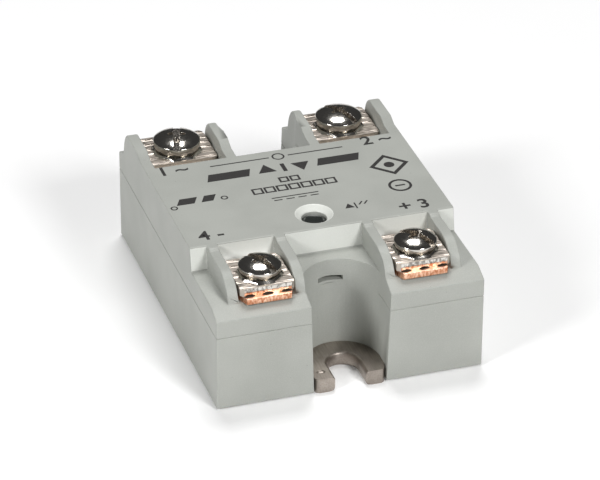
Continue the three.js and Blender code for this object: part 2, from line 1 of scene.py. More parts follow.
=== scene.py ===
# Panel mount solid state relay: the finished look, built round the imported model.
import math
import bmesh
import bpy
from mathutils import Matrix, Vector
from mathutils.bvhtree import BVHTree
from mathutils.geometry import intersect_point_line


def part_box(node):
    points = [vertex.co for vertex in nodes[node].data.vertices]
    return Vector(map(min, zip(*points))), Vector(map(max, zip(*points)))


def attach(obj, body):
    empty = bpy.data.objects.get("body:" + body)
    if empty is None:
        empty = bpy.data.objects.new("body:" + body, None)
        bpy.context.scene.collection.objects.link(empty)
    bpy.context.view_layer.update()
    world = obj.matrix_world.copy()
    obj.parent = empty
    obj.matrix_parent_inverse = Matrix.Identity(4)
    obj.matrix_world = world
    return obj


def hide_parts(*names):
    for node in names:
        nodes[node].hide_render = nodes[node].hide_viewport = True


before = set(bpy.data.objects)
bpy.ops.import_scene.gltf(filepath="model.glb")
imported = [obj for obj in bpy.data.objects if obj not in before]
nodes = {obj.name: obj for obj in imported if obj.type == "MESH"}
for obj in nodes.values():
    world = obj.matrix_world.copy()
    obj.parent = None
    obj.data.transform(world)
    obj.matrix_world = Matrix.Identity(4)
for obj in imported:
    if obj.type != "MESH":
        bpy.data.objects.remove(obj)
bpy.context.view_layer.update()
mm = 0.001
up = Vector((0, 0, 1))
print("frame loaded,", len(nodes), "nodes")


# View and light

view = {
    "position": (-155.4, -483.6, 309.8),  # mm, from the middle of the relay's underside
    "target": (1.3, 1.9, 10.0),
    "roll": 0.31,  # degrees
    "lens": 213.1,
}


def addCamera():
    camera = bpy.data.objects.new("camera", bpy.data.cameras.new("camera"))
    bpy.context.scene.collection.objects.link(camera)
    camera.data.lens = view["lens"]
    camera.data.clip_start = 0.01
    place = Vector(view["position"]) * mm
    look = Vector(view["target"]) * mm - place
    turn = look.to_track_quat("-Z", "Y").to_matrix().to_4x4()
    roll = Matrix.Rotation(math.radians(view["roll"]), 4, "Z")
    camera.matrix_world = Matrix.Translation(place) @ turn @ roll
    bpy.context.scene.camera = camera


studio = {
    "distance": 0.80,  # metres from the relay to each softbox
    "ambient": 0.05,  # strength of the even light from all round
    "softboxes": [  # azimuth from the front and elevation in degrees, size in metres, power in watts
        {"name": "overhead", "azimuth": 165, "elevation": 70, "size": 0.28, "power": 3.35},
        {"name": "frontLeft", "azimuth": -67, "elevation": 33, "size": 0.20, "power": 2.9},
        {"name": "frontRight", "azimuth": 20, "elevation": 35, "size": 0.20, "power": 3.45},
    ],
    "floorRadius": 4.0,
}


def addLights():
    for box in studio["softboxes"]:
        light = bpy.data.lights.new(box["name"], "AREA")
        light.size = box["size"]
        light.energy = box["power"]
        lamp = bpy.data.objects.new(box["name"], light)
        bpy.context.scene.collection.objects.link(lamp)
        azimuth = math.radians(box["azimuth"])
        elevation = math.radians(box["elevation"])
        flat = math.cos(elevation)
        way = Vector((math.sin(azimuth) * flat, -math.cos(azimuth) * flat, math.sin(elevation)))
        turn = way.to_track_quat("Z", "Y").to_matrix().to_4x4()
        lamp.matrix_world = Matrix.Translation(way * studio["distance"]) @ turn
    world = bpy.data.worlds.new("studio")
    world.use_nodes = True
    backdrop = world.node_tree.nodes["Background"]
    backdrop.inputs["Color"].default_value = (1, 1, 1, 1)
    backdrop.inputs["Strength"].default_value = studio["ambient"]
    bpy.context.scene.world = world
    bpy.context.scene.view_settings.view_transform = "Standard"


# Materials

def linear(hexText):
    parts = [int(hexText[i:i + 2], 16) / 255 for i in (0, 2, 4)]
    return [c / 12.92 if c <= 0.04045 else ((c + 0.055) / 1.055) ** 2.4 for c in parts] + [1.0]


def perSize(size):
    # texture scale that makes one cell of a pattern this many millimetres
    return 1 / (size * mm)


def addNode(tree, kind, settings=None, links=None, output=0):
    # a key is a socket's name or number, or else an attribute of the node. Gives back one of its outputs.
    node = tree.nodes.new("ShaderNode" + kind)
    for key, value in (settings or {}).items():
        if isinstance(key, str) and key not in node.inputs:
            setattr(node, key, value)
    for key, value in (settings or {}).items():
        if not isinstance(key, str) or key in node.inputs:
            node.inputs[key].default_value = value
    for key, source in (links or {}).items():
        tree.links.new(source, node.inputs[key])
    return node.outputs[output] if len(node.outputs) else None


def newMaterial(name):
    # an empty node tree, with the Object coordinates that its patterns read
    material = bpy.data.materials.new(name)
    material.use_nodes = True
    tree = material.node_tree
    tree.nodes.clear()
    return material, tree, addNode(tree, "TexCoord", output="Object")


def shade(material, settings, links):
    # the last step of a material: the surface itself
    tree = material.node_tree
    surface = addNode(tree, "BsdfPrincipled", settings, links)
    addNode(tree, "OutputMaterial", links={"Surface": surface})
    return material


caseGrained = {
    "colour": "AAACA6",
    "shade": "A2A49E",
    "light": "B7B9B3",
    "roughness": 0.5,
    "grainDepth": 0.012,  # mm
}
# painted light: a paler, a little glossier copy of the case for walls meant to look brighter
caseWallPaintedLight = {
    "colour": "DEE0DA",
    "shade": "D8DAD4",
    "light": "E4E6E0",
    "roughness": 0.36,
    "grainDepth": 0.004,
}
casePattern = {  # mm
    "cloud": 9.0,
    "grain": 0.16,  # drawn coarser than the real one, about 0.05, so that it shows
    "speckApart": 2.2,
    "speckColour": "7C7E79",
    "roughnessSwing": 0.06,
}


def mouldedPolyester(name, look):
    # glass-filled polyester: light grey, with a fine grain and a few dark specks. The matt look is the
    # moulding's own; the paler, a little glossy look is painted light, for walls meant to look brighter.
    material, tree, place = newMaterial(name)
    cloud = addNode(tree, "TexNoise", {"Scale": perSize(casePattern["cloud"])}, {"Vector": place})
    clouded = addNode(tree, "MapRange", {"From Min": 0.35, "From Max": 0.65}, {"Value": cloud})
    settings = {"data_type": "RGBA", 6: linear(look["shade"]), 7: linear(look["colour"])}
    tone = addNode(tree, "Mix", settings, {0: clouded}, 2)
    settings = {"Scale": perSize(casePattern["grain"]), "Detail": 3.0}
    grain = addNode(tree, "TexNoise", settings, {"Vector": place})
    grained = addNode(tree, "MapRange", {"From Min": 0.45, "From Max": 0.75, "To Max": 0.6}, {"Value": grain})
    tone = addNode(tree, "Mix", {"data_type": "RGBA", 7: linear(look["light"])}, {0: grained, 6: tone}, 2)
    settings = {"Scale": perSize(casePattern["speckApart"])}
    speck = addNode(tree, "TexVoronoi", settings, {"Vector": place}, "Distance")
    settings = {"From Min": 0.03, "From Max": 0.06, "To Min": 0.5, "To Max": 0.0}
    specked = addNode(tree, "MapRange", settings, {"Value": speck})
    settings = {"data_type": "RGBA", 7: linear(casePattern["speckColour"])}
    tone = addNode(tree, "Mix", settings, {0: specked, 6: tone}, 2)
    swing = casePattern["roughnessSwing"]
    settings = {"From Min": 0.3, "From Max": 0.7}
    settings.update({"To Min": look["roughness"] - swing, "To Max": look["roughness"] + swing})
    roughness = addNode(tree, "MapRange", settings, {"Value": grain})
    settings = {"Distance": look["grainDepth"] * mm, "Strength": 0.8}
    relief = addNode(tree, "Bump", settings, {"Height": grain})
    settings = {"Roughness": look["roughness"], "IOR": 1.55, "Specular IOR Level": 0.4}
    return shade(material, settings, {"Base Color": tone, "Roughness": roughness, "Normal": relief})


def brightNickel():
    # steel electroplated with bright nickel: a slightly warm mirror with faint waves and hair scratches
    material, tree, place = newMaterial("brightNickelPlatedSteel")
    waves = addNode(tree, "TexNoise", {"Scale": perSize(0.9)}, {"Vector": place})
    drawn = addNode(tree, "Mapping", {"Scale": (1 / 14, 1, 1)}, {"Vector": place})
    scratches = addNode(tree, "TexNoise", {"Scale": perSize(0.12)}, {"Vector": drawn})
    settings = {"data_type": "RGBA", 6: linear("C6C2BB"), 7: linear("D8D4CD")}
    tone = addNode(tree, "Mix", settings, {0: waves}, 2)
    settings = {"From Min": 0.35, "From Max": 0.75, "To Min": 0.09, "To Max": 0.22}
    roughness = addNode(tree, "MapRange", settings, {"Value": scratches})
    relief = addNode(tree, "Bump", {"Distance": 0.01 * mm, "Strength": 0.5}, {"Height": waves})
    settings = {"Metallic": 1.0, "Roughness": 0.12}
    return shade(material, settings, {"Base Color": tone, "Roughness": roughness, "Normal": relief})


def stampedNickel():
    # the same plating in a recess struck by a punch: slightly rough, its drawn walls break up the reflections
    material, tree, place = newMaterial("nickelPlatedRecess")
    drawn = addNode(tree, "Mapping", {"Scale": (1, 1, 1 / 3)}, {"Vector": place})
    lines = addNode(tree, "TexNoise", {"Scale": perSize(0.25), "Detail": 3.0}, {"Vector": drawn})
    # the streaks follow the punch's drawn walls; their dark end, darker than the head's, is painted shade in
    # the hollow
    settings = {"data_type": "RGBA", 6: linear("A39C93"), 7: linear("D8D2CA")}
    tone = addNode(tree, "Mix", settings, {0: lines}, 2)
    settings = {"From Min": 0.3, "From Max": 0.7, "To Min": 0.16, "To Max": 0.38}
    roughness = addNode(tree, "MapRange", settings, {"Value": lines})
    relief = addNode(tree, "Bump", {"Distance": 0.06 * mm, "Strength": 0.8}, {"Height": lines})
    settings = {"Metallic": 1.0, "Roughness": 0.25}
    return shade(material, settings, {"Base Color": tone, "Roughness": roughness, "Normal": relief})


def pressedNickel():
    # copper plated with nickel and then pressed: duller than the screws, with the marks of the press
    material, tree, place = newMaterial("nickelPlatedCopperPressed")
    drawn = addNode(tree, "Mapping", {"Scale": (1 / 3, 1, 1)}, {"Vector": place})
    marks = addNode(tree, "TexNoise", {"Scale": perSize(0.35), "Detail": 3.0}, {"Vector": drawn})
    settings = {"data_type": "RGBA", 6: linear("C4BAAF"), 7: linear("E0D6CC")}
    tone = addNode(tree, "Mix", settings, {0: marks}, 2)
    settings = {"From Min": 0.3, "From Max": 0.7, "To Min": 0.3, "To Max": 0.52}
    roughness = addNode(tree, "MapRange", settings, {"Value": marks})
    relief = addNode(tree, "Bump", {"Distance": 0.015 * mm, "Strength": 0.6}, {"Height": marks})
    settings = {"Metallic": 1.0, "Roughness": 0.25}
    return shade(material, settings, {"Base Color": tone, "Roughness": roughness, "Normal": relief})


copperLook = {
    # the cut's pale streaks, partly painted highlight
    "bright": "FFD3B4",
    "dull": "C67A55",
    "smear": "E6E3DD",
    "smearShade": "8F8A83",
    "streak": 0.35,  # mm
    "streakDraw": 2.2,  # how many times longer a streak is through the strip than along it
    "tear": 0.8,  # mm
    "tearDraw": 3,
    "tearSwing": 0.55,  # how far the torn line strays, as a share of the strip's thickness
}


def copperStreaks(tree, place):
    # the streaks of a cut through copper and their colour and roughness; the pale end is partly painted
    # highlight
    drawn = addNode(tree, "Mapping", {"Scale": (1, 1, 1 / copperLook["streakDraw"])}, {"Vector": place})
    settings = {"Scale": perSize(copperLook["streak"]), "Detail": 4.0}
    streaks = addNode(tree, "TexNoise", settings, {"Vector": drawn})
    share = addNode(tree, "MapRange", {"From Min": 0.35, "From Max": 0.65}, {"Value": streaks})
    settings = {"data_type": "RGBA", 6: linear(copperLook["dull"]), 7: linear(copperLook["bright"])}
    colour = addNode(tree, "Mix", settings, {0: share}, 2)
    settings = {"From Min": 0.3, "From Max": 0.7, "To Min": 0.42, "To Max": 0.24}
    roughness = addNode(tree, "MapRange", settings, {"Value": streaks})
    return streaks, colour, roughness


def cutCopper():
    # rolled copper strip, cut in a press and left bare: warm pink metal with a torn, streaky edge
    material, tree, place = newMaterial("copperCutBare")
    streaks, colour, roughness = copperStreaks(tree, place)
    relief = addNode(tree, "Bump", {"Distance": 0.08 * mm, "Strength": 0.9}, {"Height": streaks})
    settings = {"Metallic": 1.0, "Roughness": 0.3}
    return shade(material, settings, {"Base Color": colour, "Roughness": roughness, "Normal": relief})


def shearedEdge(name, bottom, top):
    # plated copper cut in a press: nickel is dragged over the upper half of the cut, bare copper shows below
    material, tree, place = newMaterial(name)
    streaks, copper, roughness = copperStreaks(tree, place)
    height = addNode(tree, "SeparateXYZ", links={"Vector": place}, output="Z")
    share = addNode(tree, "MapRange", {"From Min": bottom, "From Max": top}, {"Value": height})
    drawn = addNode(tree, "Mapping", {"Scale": (1, 1, 1 / copperLook["tearDraw"])}, {"Vector": place})
    settings = {"Scale": perSize(copperLook["tear"]), "Detail": 3.0}
    tear = addNode(tree, "TexNoise", settings, {"Vector": drawn})
    swing = copperLook["tearSwing"]
    strayed = addNode(tree, "Math", {"operation": "MULTIPLY_ADD", 1: swing, 2: -swing / 2}, {0: tear})
    line = addNode(tree, "Math", {"operation": "ADD"}, {0: share, 1: strayed})
    plated = addNode(tree, "MapRange", {"From Min": 0.50, "From Max": 0.56}, {"Value": line})
    smeared = addNode(tree, "MapRange", {"From Min": 0.4, "From Max": 0.6}, {"Value": streaks})
    settings = {"data_type": "RGBA", 6: linear(copperLook["smearShade"]), 7: linear(copperLook["smear"])}
    smear = addNode(tree, "Mix", settings, {0: smeared}, 2)
    colour = addNode(tree, "Mix", {"data_type": "RGBA"}, {0: plated, 6: copper, 7: smear}, 2)
    lumps = addNode(tree, "Math", {"operation": "ADD"}, {0: streaks, 1: plated})
    relief = addNode(tree, "Bump", {"Distance": 0.06 * mm, "Strength": 0.8}, {"Height": lumps})
    settings = {"Metallic": 1.0, "Roughness": 0.3}
    return shade(material, settings, {"Base Color": colour, "Roughness": roughness, "Normal": relief})


def rolledPlate():
    # rolled copper plate under dull nickel, tarnished: brownish grey metal with a fine rolled grain
    material, tree, place = newMaterial("dullNickelPlateRolled")
    drawn = addNode(tree, "Mapping", {"Scale": (1, 1 / 12, 1)}, {"Vector": place})
    rolled = addNode(tree, "TexNoise", {"Scale": perSize(0.25), "Detail": 3.0}, {"Vector": drawn})
    stains = addNode(tree, "TexNoise", {"Scale": perSize(3.0), "Detail": 3.0}, {"Vector": place})
    stained = addNode(tree, "MapRange", {"From Min": 0.35, "From Max": 0.65}, {"Value": stains})
    settings = {"data_type": "RGBA", 6: linear("9C938B"), 7: linear("B1A89F")}
    tone = addNode(tree, "Mix", settings, {0: stained}, 2)
    lined = addNode(tree, "MapRange", {"From Min": 0.4, "From Max": 0.8, "To Max": 0.5}, {"Value": rolled})
    tone = addNode(tree, "Mix", {"data_type": "RGBA", 7: linear("857B74")}, {0: lined, 6: tone}, 2)
    settings = {"From Min": 0.3, "From Max": 0.7, "To Min": 0.36, "To Max": 0.5}
    roughness = addNode(tree, "MapRange", settings, {"Value": rolled})
    relief = addNode(tree, "Bump", {"Distance": 0.015 * mm, "Strength": 0.7}, {"Height": rolled})
    settings = {"Metallic": 1.0, "Roughness": 0.42}
    return shade(material, settings, {"Base Color": tone, "Roughness": roughness, "Normal": relief})


def firedAlumina():
    # fired alumina: white ceramic with a sugary surface
    material, tree, place = newMaterial("aluminaFired")
    grain = addNode(tree, "TexNoise", {"Scale": perSize(0.2), "Detail": 3.0}, {"Vector": place})
    settings = {"data_type": "RGBA", 6: linear("E4E2D9"), 7: linear("F4F3EE")}
    tone = addNode(tree, "Mix", settings, {0: grain}, 2)
    relief = addNode(tree, "Bump", {"Distance": 0.01 * mm}, {"Height": grain})
    return shade(material, {"Roughness": 0.5, "IOR": 1.76}, {"Base Color": tone, "Normal": relief})


def passivatedSilicon():
    # thyristor dice: dark blue-grey silicon, polished, with cloudy passivation
    material, tree, place = newMaterial("siliconPassivated")
    blotches = addNode(tree, "TexNoise", {"Scale": perSize(1.5)}, {"Vector": place})
    settings = {"data_type": "RGBA", 6: linear("3C404A"), 7: linear("555A66")}
    tone = addNode(tree, "Mix", settings, {0: blotches}, 2)
    return shade(material, {"Roughness": 0.15, "IOR": 3.5, "Metallic": 0.3}, {"Base Color": tone})


def pottingResin():
    # black polyurethane potting: soft sheen with shallow swells left as it set
    material, tree, place = newMaterial("polyurethanePotting")
    swells = addNode(tree, "TexNoise", {"Scale": perSize(5.0)}, {"Vector": place})
    settings = {"data_type": "RGBA", 6: linear("1E1E20"), 7: linear("2C2C2F")}
    tone = addNode(tree, "Mix", settings, {0: swells}, 2)
    relief = addNode(tree, "Bump", {"Distance": 0.15 * mm}, {"Height": swells})
    return shade(material, {"Roughness": 0.35, "IOR": 1.5}, {"Base Color": tone, "Normal": relief})


def circuitLaminate():
    # glass-epoxy board under green solder mask: copper tracks show as paler, raised bands
    material, tree, place = newMaterial("glassEpoxyBoard")
    settings = {"Scale": perSize(2.54), "distance": "CHEBYCHEV", "feature": "F1", "Randomness": 0.7}
    tracks = addNode(tree, "TexVoronoi", settings, {"Vector": place}, "Distance")
    band = addNode(tree, "MapRange", {"From Min": 0.28, "From Max": 0.32}, {"Value": tracks})
    settings = {"data_type": "RGBA", 6: linear("2C6B3E"), 7: linear("1F4F2D")}
    tone = addNode(tree, "Mix", settings, {0: band}, 2)
    relief = addNode(tree, "Bump", {"Distance": 0.035 * mm}, {"Height": band})
    settings = {"Roughness": 0.35, "IOR": 1.5, "Coat Weight": 0.3}
    return shade(material, settings, {"Base Color": tone, "Normal": relief})


def mouldedEpoxy():
    # black moulding compound: matt, with a fine shot-blasted grain
    material, tree, place = newMaterial("epoxyMouldingCompound")
    grain = addNode(tree, "TexNoise", {"Scale": perSize(0.12), "Detail": 3.0}, {"Vector": place})
    settings = {"data_type": "RGBA", 6: linear("191919"), 7: linear("29292B")}
    tone = addNode(tree, "Mix", settings, {0: grain}, 2)
    relief = addNode(tree, "Bump", {"Distance": 0.015 * mm}, {"Height": grain})
    return shade(material, {"Roughness": 0.55, "IOR": 1.55}, {"Base Color": tone, "Normal": relief})


def filmCapacitorBox():
    # flame-retardant polyester box of a film capacitor: yellow and slightly glossy
    material, tree, place = newMaterial("polyesterBoxYellow")
    cloud = addNode(tree, "TexNoise", {"Scale": perSize(2.0), "Detail": 3.0}, {"Vector": place})
    settings = {"data_type": "RGBA", 6: linear("C39A2C"), 7: linear("D8B048")}
    tone = addNode(tree, "Mix", settings, {0: cloud}, 2)
    return shade(material, {"Roughness": 0.4, "IOR": 1.55}, {"Base Color": tone})


def resistorBody():
    # lacquered ceramic body: beige with painted rings across it
    material, tree, place = newMaterial("ceramicLacquered")
    settings = {"Scale": perSize(32), "bands_direction": "X"}  # bands about 10 mm apart
    wave = addNode(tree, "TexWave", settings, {"Vector": place}, "Fac")
    rings = addNode(tree, "MapRange", {"From Min": 0.72, "From Max": 0.78}, {"Value": wave})
    settings = {"data_type": "RGBA", 6: linear("C9B48C"), 7: linear("7A3B22")}
    tone = addNode(tree, "Mix", settings, {0: rings}, 2)
    return shade(material, {"Roughness": 0.3, "IOR": 1.5}, {"Base Color": tone})


def lensResin():
    # cast epoxy over an unlit diode: a dark, wet-looking green-grey
    material, tree, place = newMaterial("epoxyLensCast")
    cloud = addNode(tree, "TexNoise", {"Scale": perSize(1.5)}, {"Vector": place})
    settings = {"data_type": "RGBA", 6: linear("1C1E1D"), 7: linear("343835")}
    tone = addNode(tree, "Mix", settings, {0: cloud}, 2)
    return shade(material, {"Roughness": 0.12, "IOR": 1.55, "Coat Weight": 0.5}, {"Base Color": tone})


def padInk():
    # pad-printed epoxy ink: near black, matt, a little thin in places
    material, tree, place = newMaterial("epoxyInkPadPrinted")
    cloud = addNode(tree, "TexNoise", {"Scale": perSize(0.3), "Detail": 3.0}, {"Vector": place})
    thin = addNode(tree, "MapRange", {"From Min": 0.55, "From Max": 0.8, "To Max": 0.5}, {"Value": cloud})
    settings = {"data_type": "RGBA", 6: linear("262423"), 7: linear("4A4946")}
    tone = addNode(tree, "Mix", settings, {0: thin}, 2)
    return shade(material, {"Roughness": 0.6, "IOR": 1.5}, {"Base Color": tone})


def paperFloor():
    # white paper sweep, lit through a little so that its far end stays pale
    material, tree, place = newMaterial("paperWhite")
    fibres = addNode(tree, "TexNoise", {"Scale": perSize(30.0)}, {"Vector": place})
    settings = {"data_type": "RGBA", 6: linear("F4F4F4"), 7: linear("F6F6F6")}
    tone = addNode(tree, "Mix", settings, {0: fibres}, 2)
    settings = {"Roughness": 0.9, "IOR": 1.45, "Specular IOR Level": 0.1, "Emission Strength": 0.08}
    return shade(material, settings, {"Base Color": tone})


finishes = {
    "case": mouldedPolyester("glassFilledPolyesterGrained", caseGrained),
    # the second copy is painted light, paler for the walls meant to look brighter
    "caseWallPaintedLight": mouldedPolyester("glassFilledPolyesterPaintedLight", caseWallPaintedLight),
    "screw": brightNickel(),
    "recess": stampedNickel(),
    "clamp": pressedNickel(),
    "copper": cutCopper(),
    "plate": rolledPlate(),
    "ceramic": firedAlumina(),
    "silicon": passivatedSilicon(),
    "gel": pottingResin(),
    "board": circuitLaminate(),
    "epoxy": mouldedEpoxy(),
    "film": filmCapacitorBox(),
    "resistor": resistorBody(),
    "lens": lensResin(),
    "ink": padInk(),
    "floor": paperFloor(),
}
print("materials made")


# Shared steps

shared = {
    "sharp": 38,  # degrees, past which an edge is shaded sharp
    "flat": 1,  # degrees between faces that count as one flat face
    "bend": 30,  # degrees, past which an edge of the case or the plate may be rounded
    "weld": 0.001,  # mm between points that count as one
}


def addPiece(name, bm, materials):
    # turns a bmesh into a mesh object at the origin
    mesh = bpy.data.meshes.new(name)
    bm.to_mesh(mesh)
    bm.free()
    piece = bpy.data.objects.new(name, mesh)
    bpy.context.scene.collection.objects.link(piece)
    for material in materials:
        mesh.materials.append(material)
    return piece


def evaluated(piece):
    # the mesh that a piece's modifiers give, in place of the modifiers
    graph = bpy.context.evaluated_depsgraph_get()
    mesh = bpy.data.meshes.new_from_object(piece.evaluated_get(graph))
    piece.modifiers.clear()
    piece.data = mesh
    return piece


def carve(piece, tool, operation):
    modifier = piece.modifiers.new("carve", "BOOLEAN")
    modifier.object = tool
    modifier.operation = operation
    modifier.solver = "EXACT"
    evaluated(piece)
    bpy.data.objects.remove(tool)


def settle(piece):
    # smooth shading that keeps flat faces flat and hard edges hard
    mesh = piece.data
    mesh.polygons.foreach_set("use_smooth", [True] * len(mesh.polygons))
    mesh.set_sharp_from_angle(angle=math.radians(shared["sharp"]))
    weighted = piece.modifiers.new("weighted", "WEIGHTED_NORMAL")
    weighted.keep_sharp = True
    weighted.weight = 100


def finishPiece(piece, body, slot, *replaced):
    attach(piece, body)
    if replaced:
        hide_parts(*replaced)
    settle(piece)


def addBlock(bm, low, high):
    size = Vector(high) - Vector(low)
    middle = (Vector(high) + Vector(low)) / 2
    matrix = Matrix.Translation(middle) @ Matrix.Diagonal((*size, 1))
    return bmesh.ops.create_cube(bm, size=1, matrix=matrix)["verts"]


def addDrum(bm, centre, low, high, radius, topRadius=None, steps=64, turn=0.0):
    # an upright drum or cone from one height to another
    middle = Vector((centre[0], centre[1], (low + high) / 2))
    matrix = Matrix.Translation(middle) @ Matrix.Rotation(turn, 4, "Z")
    return bmesh.ops.create_cone(
        bm, cap_ends=True, cap_tris=False, segments=steps, radius1=radius,
        radius2=radius if topRadius is None else topRadius, depth=high - low, matrix=matrix,
    )["verts"]


def sharpEdges(bm, angle=shared["bend"]):
    return [e for e in bm.edges if len(e.link_faces) == 2 and e.calc_face_angle(0) > math.radians(angle)]


def roundEdges(bm, edges, offset, segments, clamped=True):
    bmesh.ops.bevel(
        bm, geom=edges, offset=offset, offset_type="OFFSET", segments=segments, profile=0.5,
        affect="EDGES", material=-1, clamp_overlap=clamped,
    )


def mergedCopy(name):
    # a CAD node's mesh with its loose triangles joined and its flat faces whole
    bm = bmesh.new()
    bm.from_mesh(nodes[name].data)
    bmesh.ops.remove_doubles(bm, verts=bm.verts, dist=shared["weld"] * mm)
    limit = math.radians(shared["flat"])
    bmesh.ops.dissolve_limit(bm, angle_limit=limit, verts=bm.verts, edges=bm.edges, delimit={"NORMAL"})
    return bm


def opensOut(tree, edge, lift):
    # whether nothing of the same shell lies in front of an edge, the way that its two faces point
    way = (sum((f.normal for f in edge.link_faces), Vector()) + up * lift).normalized()
    start = (edge.verts[0].co + edge.verts[1].co) / 2 + way * case["clearOf"] * mm
    return tree.ray_cast(start, way)[0] is None


def hasRoom(edge, room):
    return all(e.calc_length() > room for v in edge.verts for e in v.link_edges)


def passesNear(edge, spot, reach):
    first, last = [v.co for v in edge.verts]
    share = min(max(intersect_point_line(spot, first, last)[1], 0), 1)
    return (first.lerp(last, share) - spot).length < reach


# Case

case = {
    "edge": 0.2,
    "edgeSteps": 3,
    "clearOf": 0.05,  # how far in front of an edge the look outwards starts
    "room": 0.42,  # an edge next to a shorter one is left sharp
    "fold": 112,  # degrees between two faces that have gone through each other
    "foldReach": 0.5,  # edges this near to a fold stay sharp
    "seatReach": 0.9,  # and so do those this near to a terminal strip, or less than the next below it
    "seatDepth": 1.0,
    "tries": 6,
    "wallFacing": 0.93,  # how squarely a wall faces the front or back to be polished
    "windowReach": 3.4,
    "windowTilt": (0.2, 0.95),  # upward part of the facing of the bevel round the window
}
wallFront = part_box("control_clamp_3")[1].y
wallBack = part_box("load_clamp_1")[0].y
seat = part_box("control_clamp_3")[0].z
window = sum(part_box("status_lens"), Vector()) / 2
stripBoxes = [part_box(name) for name in nodes if "_terminal_" in name]


def underStrip(edge):
    # whether a terminal strip hides the edge: a fillet there would run into the mouth of the nut's well
    reach = Vector((1, 1, 0)) * case["seatReach"] * mm
    depth = Vector((1, 1, 1)) * case["seatDepth"] * mm
    for low, high in stripBoxes:
        lowest, highest = low - reach - depth, high + reach
        if all(lowest[i] < v.co[i] < highest[i] for v in edge.verts for i in range(3)):
            return True
    return False


def getsPaintedLight(face):
    # the deck's two end walls, above the seat of the clamps, and the bevel round the window, given painted
    # light
    middle = face.calc_center_median()
    if (middle - window).to_2d().length < case["windowReach"] * mm:
        steep, flat = case["windowTilt"]
        return steep < face.normal.z < flat
    onDeck = wallFront < middle.y < wallBack and middle.z > seat
    return onDeck and abs(face.normal.y) > case["wallFacing"]


def roundedCase(node, lift):
    # rounds the outer edges; where the result folds through itself the edges stay sharp and it is done again
    folds = []
    reach = case["foldReach"] * mm
    for _ in range(case["tries"]):
        bm = mergedCopy(node)
        tree = BVHTree.FromBMesh(bm)
        edges = [e for e in sharpEdges(bm) if opensOut(tree, e, lift) and hasRoom(e, case["room"] * mm)]
        edges = [e for e in edges if not underStrip(e)]
        edges = [e for e in edges if not any(passesNear(e, spot, reach) for spot in folds)]
        roundEdges(bm, edges, case["edge"] * mm, case["edgeSteps"], False)
        bm.normal_update()
        found = [v.co.copy() for e in sharpEdges(bm, case["fold"]) for v in e.verts]
        if not found:
            break
        folds += found
    return bm


def makeCase(node, name, lift):
    bm = roundedCase(node, lift)
    for face in bm.faces:
        # painted light: these walls of the cover take the paler copy of the moulding
        face.material_index = int(node == "cover" and getsPaintedLight(face))
    piece = addPiece(name, bm, [finishes["case"], finishes["caseWallPaintedLight"]])
    finishPiece(piece, "relay", "case", node)


plate = {
    "edge": 0.12,
    "edgeBend": 50,  # degrees
    "room": 0.252,
    "slotWidth": 5.2,
    "slotChamfer": 0.4,
    "slotRoll": 0.7,  # the edge that the punch rolled over underneath
    "slotRollSteps": 4,
    "near": 0.1,  # points this near to the slot's side are on its wall
    "atHeight": 0.01,  # and these near to its top or bottom on the rim
    "dimple": (-4.4, 2.1),  # from the middle and from the ear's end
    "dimpleSize": (1.5, 1.1, 0.5),
}


def inSlot(edge, low, height):
    # whether an edge lies on the wall of the ear's slot, at a height
    side = (plate["slotWidth"] / 2 + plate["near"]) * mm
    onWall = all(abs(v.co.x) < side and v.co.y < low.y / 2 for v in edge.verts)
    return onWall and all(abs(v.co.z - height) < plate["atHeight"] * mm for v in edge.verts)


def makePlate():
    low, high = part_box("base_plate")
    bm = mergedCopy("base_plate")
    rims = ((high.z, plate["slotChamfer"], 1), (low.z, plate["slotRoll"], plate["slotRollSteps"]))
    for height, offset, steps in rims:
        rim = [e for e in sharpEdges(bm) if inSlot(e, low, height)]
        roundEdges(bm, rim, offset * mm, steps, False)
    edges = [e for e in sharpEdges(bm, plate["edgeBend"]) if hasRoom(e, plate["room"] * mm)]
    roundEdges(bm, edges, plate["edge"] * mm, 2, False)
    piece = addPiece("basePlate", bm, [finishes["plate"]])

    bm = bmesh.new()
    side, back = plate["dimple"]
    place = Matrix.Translation((side * mm, low.y + back * mm, high.z))
    matrix = place @ Matrix.Diagonal((*plate["dimpleSize"], 1))
    bmesh.ops.create_uvsphere(bm, u_segments=20, v_segments=12, radius=mm / 2, matrix=matrix)
    carve(piece, addPiece("dimpleTool", bm, []), "DIFFERENCE")
    finishPiece(piece, "relay", "plate", "base_plate")


makeCase("cover", "coverMoulding", 0.6)
makeCase("housing", "housingMoulding", 0.0)
makePlate()
print("case and plate made")


# Terminals

ends = {
    "control": {
        "numbers": (3, 4),
        "pitch": 0.6,
        "thread": 1.72,
        "side": 1.35,
        "boss": 4.05,
        "bossHeight": 0.3,
    },
    "load": {
        "numbers": (1, 2),
        "pitch": 0.7,
        "thread": 1.97,
        "side": 1.7,
        "boss": 4.6,
        "bossHeight": 0.3,
    },
}
screw = {
    "rim": 0.25,
    "foot": 0.5,  # how far the head's side is drawn in at its foot
    "edge": 0.07,
    "edgeBend": 35,  # degrees
    "footSteps": 6,
    "rimSteps": 4,
    "domeSteps": 9,
    "steps": 96,
    "slotWidth": 1.15,
    "slotDepth": 1.25,
    "wingWidth": 0.95,
    "wingReach": 2.05,
    "wingTip": 0.55,
    "wingTaper": 0.6,  # width of a wing at its bottom as a share of that at the top
    "wingDepth": 1.95,
    "shankReach": 0.4,  # how far the shank runs up into the head
    "threadSteps": 24,
    "threadShare": 0.55,  # depth of the thread as a share of its pitch
    "threadForm": [(0, 0.0), (0, 0.12), (1, 0.5), (1, 0.62), (0, 1.0)],  # share of its depth and of its pitch
    "weld": {"head": 0.002, "thread": 0.004, "carved": 0.003},  # mm between points that become one
    "turns": {1: -106, 2: -62, 3: -54, 4: -65},  # degrees from X to each slot
}


